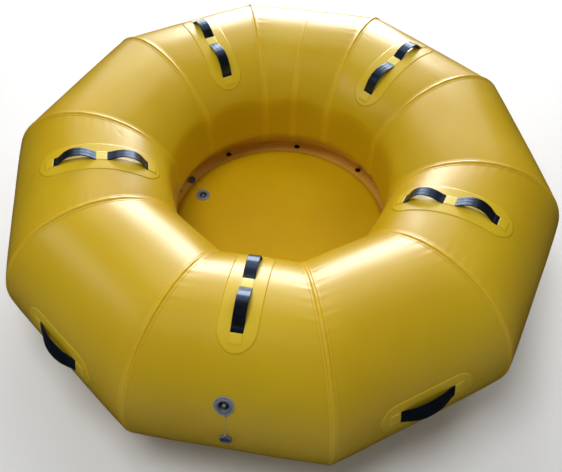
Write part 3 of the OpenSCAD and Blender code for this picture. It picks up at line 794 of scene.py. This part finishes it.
def web_outline(width):
    """Across the webbing: a flat ribbon with three soft ribs and thick round edges."""
    half_t = WEB_T / 2
    turn = np.radians(np.linspace(-90, 90, 7))
    flat = np.linspace(1, -1, 19)[1:-1] * (width / 2 - half_t)
    rib = half_t * (1 - 0.34 * np.exp(-((np.abs(flat) - width / 6) / (1.3 * MM)) ** 2))
    right = np.stack([width / 2 - half_t + half_t * np.cos(turn), half_t * np.sin(turn)], 1)
    upper = np.stack([flat, rib], 1)
    return np.concatenate([right, upper, -right, -upper])


def make_strap(name, to_world, path, width, twist, drift, hang=0.0):
    """Webbing swept along a path. to_world(run, height, side) gives world points.

    The lower edge stands out further than the upper one by hang.
    """
    outline = web_outline(width)
    ahead = np.gradient(path, axis=0)
    ahead /= np.linalg.norm(ahead, axis=1)[:, None]
    over = np.stack([-ahead[:, 1], ahead[:, 0]], 1)
    share = np.clip(path[:, 1] / path[:, 1].max(), 0, 1)
    tip = np.radians(twist) * share
    side = outline[None, :, 0] * np.cos(tip)[:, None] - outline[None, :, 1] * np.sin(tip)[:, None]
    lift = outline[None, :, 0] * np.sin(tip)[:, None] + outline[None, :, 1] * np.cos(tip)[:, None]
    run = path[:, :1] + over[:, :1] * lift
    height = path[:, 1:] + over[:, 1:] * lift
    height = height + hang * (share ** 1.2)[:, None] * (0.5 - side / width)
    world = to_world(run, height, side + (drift * share)[:, None])
    rows, cols = run.shape
    corners = grid_corners(rows, cols, False, True)
    index = corners[..., 0] * cols + corners[..., 1] % cols
    walked = np.concatenate([[0], np.cumsum(np.linalg.norm(np.diff(path, axis=0), axis=1))])
    around = np.concatenate([outline[:, 0], outline[:1, 0]])
    uvs = np.stack([walked[corners[..., 0]], around[corners[..., 1]]], 2).reshape(-1, 2).tolist()
    faces = index.tolist() + [list(range(cols)), list(range((rows - 1) * cols, rows * cols))]
    uvs += [[0, 0]] * (2 * cols)
    return make_object(name, world.reshape(-1, 3), faces, uvs, sharp=60)


def cover_object(name, to_world, length, width, closed_end):
    """A cover of skin over webbing: it climbs the webbing's edges, its closed end tucks down, and a
    painted highlight runs along its rims.
    """
    half, web_half = width / 2 + TAB_EDGE, width / 2
    side = np.array([-1, -0.985, -0.96, -0.93]) * half
    side = np.concatenate([side, [-web_half - 1.6 * MM, -web_half - 0.5 * MM, -web_half + 0.8 * MM],
                           np.linspace(-web_half + 3 * MM, 0, 5)])
    side = np.concatenate([side, -side[-2::-1]])
    bridge = np.clip((web_half + 0.9 * MM - np.abs(side)) / (2.0 * MM), 0, 1)
    bridge = bridge * bridge * (3 - 2 * bridge)
    rim = np.clip((half - np.abs(side)) / (0.05 * half), 0, 1) ** 0.5
    run = np.concatenate([[0, 0.012, 0.04], np.linspace(0.1, 0.9, 9), [0.96, 0.988, 1]]) * length
    rim_run = np.clip(np.minimum(run, length - run) / (0.03 * length), 0, 1) ** 0.5
    tuck = np.ones_like(run)
    if closed_end:
        tuck = np.clip((length - run) / (9 * MM), 0, 1)
        tuck = tuck * tuck * (3 - 2 * tuck)
    sheet = TAB_SKIN_T * (0.25 + 0.75 * rim[None, :] * rim_run[:, None])
    height = PATCH_LIFT - PATCH_T + sheet + WEB_T * bridge[None, :] * tuck[:, None]
    run_grid, side_grid = np.meshgrid(run, side, indexing="ij")
    top = to_world(run_grid, height, side_grid)
    under = to_world(run_grid, np.full_like(height, -0.6 * MM), side_grid)
    # A painted highlight along the rims and ends, passed on as a negative value of the mesh attribute.
    soil_and_painted_light = np.maximum(1 - rim[None, :] * np.ones_like(rim_run)[:, None], (1 - rim_run)[:, None])
    return sheet_object(name, top, under, np.stack([run_grid, side_grid], 2), -soil_and_painted_light, sharp=70)


def stitch_row(to_world, start, end, height, pitch=4.2 * MM, size=0.45 * MM):
    """Vertices and faces of a row of stitches from start to end, each given as (run, side)."""
    start, end = np.array(start, float), np.array(end, float)
    count = max(2, int(np.linalg.norm(end - start) / pitch))
    sides, rings = 6, np.array([-1, -0.8, -0.35, 0.35, 0.8, 1])
    fat = np.sqrt(np.clip(1 - rings ** 4, 0.02, 1))
    ahead = (end - start) / np.linalg.norm(end - start)
    across = np.array([-ahead[1], ahead[0]])
    vertices, faces = [], []
    for k in range(count):
        middle = start + (end - start) * (k + 0.5) / count
        turns = np.arange(sides) * math.tau / sides
        reach = rings[:, None] * pitch * 0.36
        out = fat[:, None] * size * np.cos(turns)[None, :]
        up = height + fat[:, None] * size * np.sin(turns)[None, :]
        run = middle[0] + ahead[0] * reach + across[0] * out
        side = middle[1] + ahead[1] * reach + across[1] * out
        base = k * len(rings) * sides
        vertices.append(to_world(run, up, side).reshape(-1, 3))
        corners = grid_corners(len(rings), sides, False, True)
        faces += (base + corners[..., 0] * sides + corners[..., 1] % sides).tolist()
        faces += [list(range(base, base + sides)),
                  list(range(base + (len(rings) - 1) * sides, base + len(rings) * sides))]
    return np.concatenate(vertices), faces


def stitches(name, rows):
    """One object from several stitch rows."""
    vertices, faces = [], []
    for points, quads in rows:
        base = sum(len(v) for v in vertices)
        vertices.append(points)
        faces += [[base + i for i in face] for face in quads]
    return make_object(name, np.concatenate(vertices), faces)


def section_world(azimuth, from_angle, sign):
    """Maps (run, height, side) to world points: run goes round the tube, towards larger angles."""
    def to_world(run, height, side):
        theta = math.radians(from_angle) + sign * run / PATCH_R
        radius = PATCH_R + height
        out, up = FLAT_R + radius * np.cos(theta), TUBE_R + radius * np.sin(theta)
        a = math.radians(azimuth)
        return np.stack([out * math.cos(a) - side * math.sin(a),
                         out * math.sin(a) + side * math.cos(a),
                         up + 0 * side], -1)
    return to_world


def length_world(azimuth, angle):
    """Maps (run, height, side) to world points: run goes along the panel, side round the tube."""
    def to_world(run, height, side):
        theta = math.radians(angle) + side / PATCH_R
        radius = PATCH_R + height
        out, up = FLAT_R + radius * np.cos(theta), TUBE_R + radius * np.sin(theta)
        a = math.radians(azimuth)
        return np.stack([out * math.cos(a) - run * math.sin(a),
                         out * math.sin(a) + run * math.cos(a), up], -1)
    return to_world


def make_top_handle(number):
    """Two webbing loops on a long patch, with a keeper between them and a tab over each end."""
    azimuth = TOP_AZIMUTHS[number - 1]
    rng = np.random.default_rng(40 + number)
    make_patch(f"top_patch_{number}", azimuth, TOP_PATCH_ANGLE, TOP_PATCH_L, TOP_PATCH_W, False,
               [f"top_handle_patch_{number}"])
    span = math.radians(2 * TOP_HALF_ARC) * PATCH_R
    rest = WEB_T / 2
    for side_name, sign in (("outer", -1), ("inner", 1)):
        end_angle = KEEPER_ANGLE + sign * TOP_REACH
        to_world = section_world(azimuth, end_angle, -sign)
        rise = TOP_RISE - PATCH_T - WEB_T - rng.uniform(0.5, 3.0) * MM
        arch = OUTER_ARCH if side_name == "outer" else INNER_ARCH
        path = strap_path((TAB_L - 11 * MM, KEEPER_L / 2), arch, rise, span, rng.uniform(-0.03, 0.03))
        path[:, 1] += rest
        body = f"top_loop_{side_name}_{number}"
        strap = make_strap(f"top_strap_{side_name}_{number}", to_world, path, TOP_WEB_W,
                           rng.uniform(-5, 5), rng.uniform(-2, 2) * MM)
        dress(strap, None, "webbing", [body, "top_strap_feet"])
        place = tube_place(azimuth, KEEPER_ANGLE + sign * LOOP_SHIFT)
        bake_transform(strap)
        cover_world = section_world(azimuth, end_angle, sign)
        tab = cover_object(f"top_tab_{side_name}_{number}", cover_world, TAB_L, TOP_WEB_W, True)
        dress(tab, "root", "strap_cover", ["top_strap_end_tabs"], "tab")
        reach = TOP_WEB_W / 2 - 2.5 * MM
        runs = (13 * MM, 16.5 * MM)
        levels = [np.interp(run, path[:, 0], path[:, 1]) + WEB_T / 2 for run in runs]
        rows = [stitch_row(to_world, (run, -reach), (run, reach), level, 3.4 * MM)
                for run, level in zip(runs, levels)]
        sewing = stitches(f"top_stitches_{side_name}_{number}", rows)
        dress(sewing, None, "webbing", look="black_thread")
        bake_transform(sewing)
    keeper_world = section_world(azimuth, KEEPER_ANGLE - KEEPER_HALF_ARC, 1)
    keeper = cover_object(f"top_keeper_{number}", keeper_world, KEEPER_L, TOP_WEB_W, False)
    dress(keeper, "root", "strap_cover", ["top_strap_keepers"])
    top = WEB_T + TAB_SKIN_T + PATCH_LIFT - PATCH_T
    near, far, wide = 6 * MM, KEEPER_L - 6 * MM, 15 * MM
    corners = [(near, -wide), (near, wide), (far, wide), (far, -wide), (near, -wide)]
    rows = [stitch_row(keeper_world, a, b, top, 3.6 * MM, 0.55 * MM)
            for a, b in zip(corners[:-1], corners[1:])]
    rows += [stitch_row(keeper_world, corners[k], corners[k + 2], top, 3.6 * MM, 0.55 * MM)
             for k in (0, 1)]
    dress(stitches(f"keeper_stitches_{number}", rows), "root", "strap_cover", look="yellow_thread")


def make_side_handle(number):
    """One wide webbing loop on its patch, with a tab over each end."""
    azimuth = SIDE_AZIMUTHS[number - 1]
    rng = np.random.default_rng(80 + number)
    make_patch(f"side_patch_{number}", azimuth, SIDE_ANGLE, SIDE_PATCH_L, SIDE_PATCH_W, True,
               [f"side_handle_patch_{number}"])
    to_world = length_world(azimuth, SIDE_ANGLE)
    rise = SIDE_RISE - PATCH_T - WEB_T - rng.uniform(0, 1.5) * MM
    path = strap_path((TAB_L - 11 * MM, TAB_L - 11 * MM), SIDE_ARCH, rise, SIDE_LOOP_L,
                      rng.uniform(-0.06, 0.06))
    path[:, 0] -= SIDE_LOOP_L / 2
    path[:, 1] += WEB_T / 2
    body = f"side_loop_{number}"
    strap = make_strap(f"side_strap_{number}", to_world, path, SIDE_WEB_W,
                       0.0, rng.uniform(-1, 1) * MM, SIDE_HANG)
    dress(strap, None, "webbing", [body, "side_strap_feet"])
    place = tube_place(azimuth, SIDE_ANGLE, PATCH_T)
    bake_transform(strap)
    for end_name, sign in (("a", -1), ("b", 1)):
        def end_world(run, height, side, sign=sign):
            return to_world(sign * (SIDE_LOOP_L / 2 + run), height, side)
        tab = cover_object(f"side_tab_{end_name}_{number}", end_world, TAB_L, SIDE_WEB_W, True)
        dress(tab, "root", "strap_cover", ["side_strap_end_tabs"], "tab")


# ---- The floor ----

def floor_height(r):
    return FLOOR_TOP_Z + FLOOR_CROWN * (1 - (r / FLOOR_R) ** 2)


def floor_wave(turn, r, z):
    """Keeps the floor's outline round, with the least unevenness at its edge."""
    return 0.4 * MM * np.sin(7 * turn + 1) * (r > FLOOR_R)


def make_floor():
    flat = np.linspace(0, FLOOR_R, 42)
    bend = np.radians(np.linspace(90, -90, 25))
    top = [(r, floor_height(r)) for r in flat]
    inner = [(r, floor_height(r) - FLOOR_SKIN_T) for r in flat[::-1]]
    upper = lathe("floor_top", np.array(top + inner), Matrix(), 144)
    bore(upper, floor_valve_place(), SKIN_HOLE_D * FLOOR_VALVE_SCALE)
    dress(upper, "root", "floor_skin", ["floor_top_skin"])
    edge = [(FLOOR_R + FLOOR_EDGE_R * math.cos(b), FLOOR_MID_Z + FLOOR_EDGE_R * math.sin(b))
            for b in bend]
    back = [(FLOOR_R + (FLOOR_EDGE_R - FLOOR_SKIN_T) * math.cos(b),
             FLOOR_MID_Z + (FLOOR_EDGE_R - FLOOR_SKIN_T) * math.sin(b)) for b in bend[::-1]]
    band = lathe("floor_band", np.array(edge + back), Matrix(), 144, wave=floor_wave)
    dress(band, "root", "floor_skin", ["floor_side_band"])
    lower = [(r, FLOOR_Z) for r in flat] + [(r, FLOOR_Z + FLOOR_SKIN_T) for r in flat[::-1]]
    base = lathe("floor_base", np.array(lower), Matrix(), 144)
    dress(base, "root", "floor_skin", ["floor_bottom_skin"])


def make_skirt():
    """The skirt lies from the floor's rounded edge to the hole's wall, and turns up against it."""
    wall = HOLE_R + FLARE_SLOPE * (FLARE_Z - SKIRT_Z)
    rise = 14 * MM
    lean = FLARE_SLOPE * rise
    t = 1.4 * MM
    outline = rounded([
        (FLOOR_R + 26 * MM, SKIRT_Z + 6 * MM), (FLOOR_R + 34 * MM, SKIRT_Z), (wall, SKIRT_Z),
        (wall - lean, SKIRT_Z + rise), (wall - lean - t, SKIRT_Z + rise),
        (wall - 5 * MM, SKIRT_Z + t), (FLOOR_R + 35 * MM, SKIRT_Z + t),
        (FLOOR_R + 26 * MM, SKIRT_Z + 6 * MM + t)], 1.2 * MM, 3)
    skirt = lathe("skirt_sheet", outline, Matrix(), 180)
    for number, azimuth in enumerate(EYELET_AZIMUTHS, 1):
        place = Matrix.Rotation(math.radians(azimuth), 4, "Z")
        place = place @ Matrix.Translation((EYELET_PLACE_R, 0, SKIRT_Z))
        bore(skirt, place, DRAIN_D + 2 * MM)
        eyelet(number, place)
    dress(skirt, "root", "skirt", ["floor_skirt"])


def eyelet(number, place):
    """A rolled eyelet with its washer under the skirt."""
    barrel, outer, high = DRAIN_D / 2, EYELET_D / 2, SKIRT_T
    outline = rounded([
        (barrel, -1.4 * MM), (outer, -1.4 * MM), (outer, 0), (barrel + 1.5 * MM, 0),
        (barrel + 1.5 * MM, high), (outer, high + 0.1 * MM), (outer - 0.8 * MM, high + 1.3 * MM),
        (barrel + 2.6 * MM, high + 2.1 * MM), (barrel, high + 1.2 * MM)], 1.0 * MM)
    dress(lathe(f"eyelet_{number}", outline, place, 40), "root", "eyelet", ["drain_eyelets"])


# ---- Valves ----

def floor_valve_place():
    place = Matrix.Rotation(math.radians(FLOOR_VALVE_AZIMUTH), 4, "Z")
    return place @ Matrix.Translation((FLOOR_VALVE_R, 0, floor_height(FLOOR_VALVE_R)))


def make_valve(kind, place, flange_d, scale, tether_start):
    """Flange, body, button and spring of one valve. The place's Z is out of the skin."""
    scaled = place @ Matrix.Diagonal((scale, scale, scale, 1))
    half, body = flange_d / 2 / scale, BODY_D / 2
    outline = rounded([
        (body - 0.1 * MM, -3.2 * MM), (half, -3.2 * MM), (half, 2.6 * MM), (half - 1.0 * MM, 4.0 * MM),
        (half - 3.6 * MM, 4.0 * MM), (half - 4.6 * MM, 2.6 * MM), (body + 3.0 * MM, 2.4 * MM),
        (body + 1.6 * MM, 3.8 * MM), (body - 0.1 * MM, 3.8 * MM)], 0.9 * MM)
    flange = lathe(f"{kind}_flange", outline, scaled, 96)
    dress(flange, "root", "valve_flange", [f"{kind}_valve_flange"])
    lug = rounded([(1.5 * MM, -1.5 * MM), (4 * MM, -1.5 * MM), (4 * MM, 2 * MM), (1.5 * MM, 2 * MM)],
                  0.7 * MM)
    toward = scaled.inverted() @ Vector(tether_start)
    toward.z = 0
    spot = scaled @ Matrix.Translation(toward.normalized() * 33.5 * MM)
    dress(lathe(f"{kind}_lug", lug, spot, 32), "root", "valve_flange")

    def knurl(turn, r, z):
        return 0.35 * MM * np.sign(np.sin(24 * turn)) * (r > body + 1.0 * MM)

    collar = rounded([
        (body - 3.4 * MM, -7 * MM), (body + 0.2 * MM, -7 * MM), (body + 0.2 * MM, 3.6 * MM),
        (body + 1.4 * MM, 4.2 * MM), (body + 1.4 * MM, 6.0 * MM), (body + 0.4 * MM, 6.9 * MM),
        (body - 2.6 * MM, 6.9 * MM), (body - 3.4 * MM, 6.0 * MM),
        (body - 3.4 * MM, 4.2 * MM), (body - 4.4 * MM, 3.4 * MM), (body - 3.4 * MM, 2.6 * MM),
        (body - 3.4 * MM, 0.8 * MM), (body - 4.4 * MM, 0.0), (body - 3.4 * MM, -0.8 * MM),
        (body - 3.4 * MM, -2.6 * MM), (body - 4.4 * MM, -3.4 * MM), (body - 3.4 * MM, -4.2 * MM),
    ], 0.5 * MM, 3)
    ring = lathe(f"{kind}_collar", collar, scaled, 96, wave=knurl)
    dress(ring, "root", "valve_body")
    shaft, head, seal = 2.5 * MM, 6 * MM, 14.5 * MM
    button = rounded([
        (0, -30 * MM), (seal, -30.1 * MM), (seal, -27.1 * MM), (shaft, -27.1 * MM),
        (shaft, -3.4 * MM), (head - 1.6 * MM, -3.4 * MM), (head, -2.4 * MM), (head, 0.2 * MM),
        (head - 1.6 * MM, 1.2 * MM), (head - 2.6 * MM, 0.9 * MM), (0, 0.4 * MM)], 0.5 * MM)
    button[[0, -1], 0] = 0
    plunger = lathe(f"{kind}_plunger", button, scaled, 48)
    dress(plunger, f"{kind}_button", "valve_button", [f"{kind}_valve_button"])
    low, high, coils, steps = -19.4 * MM, -3.9 * MM, 5, 24
    k = np.arange(coils * steps + 1)
    turn = math.tau * k / steps
    helix = np.stack([4 * MM * np.cos(turn), 4 * MM * np.sin(turn),
                      low + (high - low) * k / (coils * steps)], 1)
    helix = helix @ np.array(scaled.to_3x3()).T + np.array(scaled.translation)
    spring = tube_along(f"{kind}_spring_coil", helix, 0.5 * MM * scale, 8)
    dress(spring, "root", "spring_wire", [f"{kind}_valve_spring"])
    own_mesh(spring)
    paint_node(f"{kind}_valve_body", "valve_body")


def make_cap(kind, place, body):
    """A screw cap with grips round it, a thread inside and a lug for its tether, open side out."""
    radius, high, wall = 18 * MM, 10 * MM, 2.5 * MM
    inner = radius - wall
    grips = 18

    def flute(turn, r, z):
        grip = 1 - np.abs(np.sin(turn * grips / 2)) ** 0.6
        return -0.9 * MM * grip * (r > radius - 0.7 * MM)

    outline = [(0, 0), (radius - 1.2 * MM, 0), (radius, 1.4 * MM), (radius, high - 0.8 * MM),
               (radius - 0.6 * MM, high), (inner + 0.3 * MM, high), (inner, high - 0.6 * MM)]
    for k in range(3):
        z = high - (2.0 + 2.0 * k) * MM
        outline += [(inner, z + 0.5 * MM), (inner - 0.9 * MM, z), (inner, z - 0.5 * MM)]
    outline += [(inner, 2.4 * MM), (inner - 1.5 * MM, 2.0 * MM), (5.5 * MM, 2.0 * MM),
                (5.0 * MM, 3.6 * MM), (3.8 * MM, 3.6 * MM), (3.3 * MM, 2.0 * MM), (0, 2.0 * MM)]
    cap = lathe(f"{kind}_cap_shell", outline, place, 144, wave=flute)
    dress(cap, body, "valve_cap", [f"{kind}_valve_cap"])
    lug = rounded([(1.4 * MM, high - 2 * MM), (3.9 * MM, high - 2 * MM), (3.9 * MM, high),
                   (1.4 * MM, high)], 0.6 * MM)
    spot = place @ Matrix.Translation((-radius - 3.0 * MM, 0, 0))
    dress(lathe(f"{kind}_cap_lug", lug, spot, 32), body, "valve_cap")
    return cap


def paint_node(name, slot):
    """Gives a carried-over CAD node its material."""
    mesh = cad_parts[name].data
    mesh.materials.clear()
    mesh.materials.append(MATERIALS[slot])


def make_tether(kind, route, body):
    """The moulded cord that keeps a cap, as a smooth curve through its route."""
    curve = bpy.data.curves.new(f"{kind}_tether_cord", "CURVE")
    curve.dimensions = "3D"
    curve.bevel_depth = TETHER_D / 2
    curve.bevel_resolution = 4
    curve.use_fill_caps = True
    spline = curve.splines.new("POLY")
    spline.points.add(len(route) - 1)
    for point, place in zip(spline.points, route):
        point.co = (*(c * MM for c in place), 1.0)
    tether = bpy.data.objects.new(f"{kind}_tether_cord", curve)
    bpy.context.scene.collection.objects.link(tether)
    dress(tether, body, "tether", [f"{kind}_valve_tether"])
    return tether


def declare_tether(route):
    steps = zip(route, route[1:])
    length = sum((Vector(b) - Vector(a)).length for a, b in steps) * MM


def make_cords_and_caps():
    """The two tethers and the caps they keep."""
    ring_tether = make_tether("ring", RING_TETHER_ROUTE, "ring_cap")
    ring_cap = make_cap("ring", tube_place(VALVE_AZIMUTH, RING_CAP_ANGLE, CAP_REST_GAP), "ring_cap")
    declare_tether(RING_TETHER_ROUTE)
    floor_tether = make_tether("floor", FLOOR_TETHER_ROUTE, "floor_cap")
    spot = Matrix.Rotation(math.radians(FLOOR_CAP_AZIMUTH), 4, "Z") @ Matrix.Translation(
        (FLOOR_CAP_R, 0, SKIRT_Z + SKIRT_T + CAP_REST_GAP))
    start = (Matrix.Rotation(math.radians(FLOOR_VALVE_AZIMUTH), 4, "Z") @ Vector((FLOOR_VALVE_R, 0, 0)))
    lead = spot.translation - start
    heading = math.atan2(lead.y, lead.x)
    flat = Matrix.Translation(spot.translation) @ Matrix.Rotation(heading, 4, "Z")
    flat = flat @ Matrix.Diagonal((FLOOR_VALVE_SCALE,) * 3 + (1,))
    floor_cap = make_cap("floor", flat, "floor_cap")
    declare_tether(FLOOR_TETHER_ROUTE)


# ---- The stage ----

def softbox(name, location, size, power, colour=(1, 1, 1), target=(0, 0, 0.3)):
    lamp = bpy.data.lights.new(name, "AREA")
    lamp.shape = "RECTANGLE"
    lamp.size, lamp.size_y = size
    lamp.energy = power
    lamp.color = colour
    holder = bpy.data.objects.new(name, lamp)
    holder.location = location
    holder.rotation_mode = "QUATERNION"
    holder.rotation_quaternion = (Vector(target) - Vector(location)).to_track_quat("-Z", "Y")
    bpy.context.scene.collection.objects.link(holder)
    return holder


def make_stage():
    softbox("back_window", (-0.45, 4.9, 1.6), (3.2, 3.0), 215)
    softbox("back_glow", (-0.9, 6.4, 2.9), (9.0, 5.6), 195)
    softbox("left_window", (-3.6, -0.4, 3.4), (1.5, 1.5), 10)
    softbox("top_glow", (-0.6, 2.6, 5.0), (3.6, 2.2), 22)
    fills = [softbox("high_fill", (-0.9, -1.0, 4.9), (2.4, 2.4), 116),
             softbox("wall_fill", (2.4, 1.1, 4.0), (1.8, 1.8), 24)]
    for fill in fills:
        fill.visible_glossy = False
    world = bpy.data.worlds.new("studio")
    world.use_nodes = True
    backdrop = world.node_tree.nodes["Background"]
    backdrop.inputs["Color"].default_value = rgb(0.95, 0.97, 1.0)
    backdrop.inputs["Strength"].default_value = 0.23
    world.cycles_visibility.glossy = False
    bpy.context.scene.world = world
    reach = 14
    mesh = bpy.data.meshes.new("studio_floor")
    mesh.from_pydata([(-reach, -reach, 0), (reach, -reach, 0), (reach, reach, 0), (-reach, reach, 0)],
                     [], [(0, 1, 2, 3)])
    ground = bpy.data.objects.new("studio_floor", mesh)
    ground.visible_glossy = False
    bpy.context.scene.collection.objects.link(ground)
    s = Surface("studio_floor", Roughness=0.85)
    colour = s.mix(s.noise(1.5, 3.0), rgb(0.82, 0.82, 0.82), rgb(0.85, 0.85, 0.85))
    ground.data.materials.append(s.set(Base_Color=colour))
    bpy.context.scene.view_settings.view_transform = "Standard"


# ---- Making it all ----

MATERIALS = make_materials()
make_camera()
make_cords_and_caps()
for panel_number in range(1, SIDES + 1):
    make_panel(panel_number)
    make_seam(panel_number)
make_closing_seam()
for handle_number in range(1, 6):
    make_top_handle(handle_number)
    make_side_handle(handle_number)
make_floor()
make_skirt()
make_valve("ring", ring_valve_place(), RING_FLANGE_D, 1.0,
           [c * MM for c in RING_TETHER_ROUTE[0]])
make_valve("floor", floor_valve_place(), FLOOR_FLANGE_D, FLOOR_VALVE_SCALE,
           [c * MM for c in FLOOR_TETHER_ROUTE[0]])
paint_node("drop_stitch_threads", "thread")
make_stage()
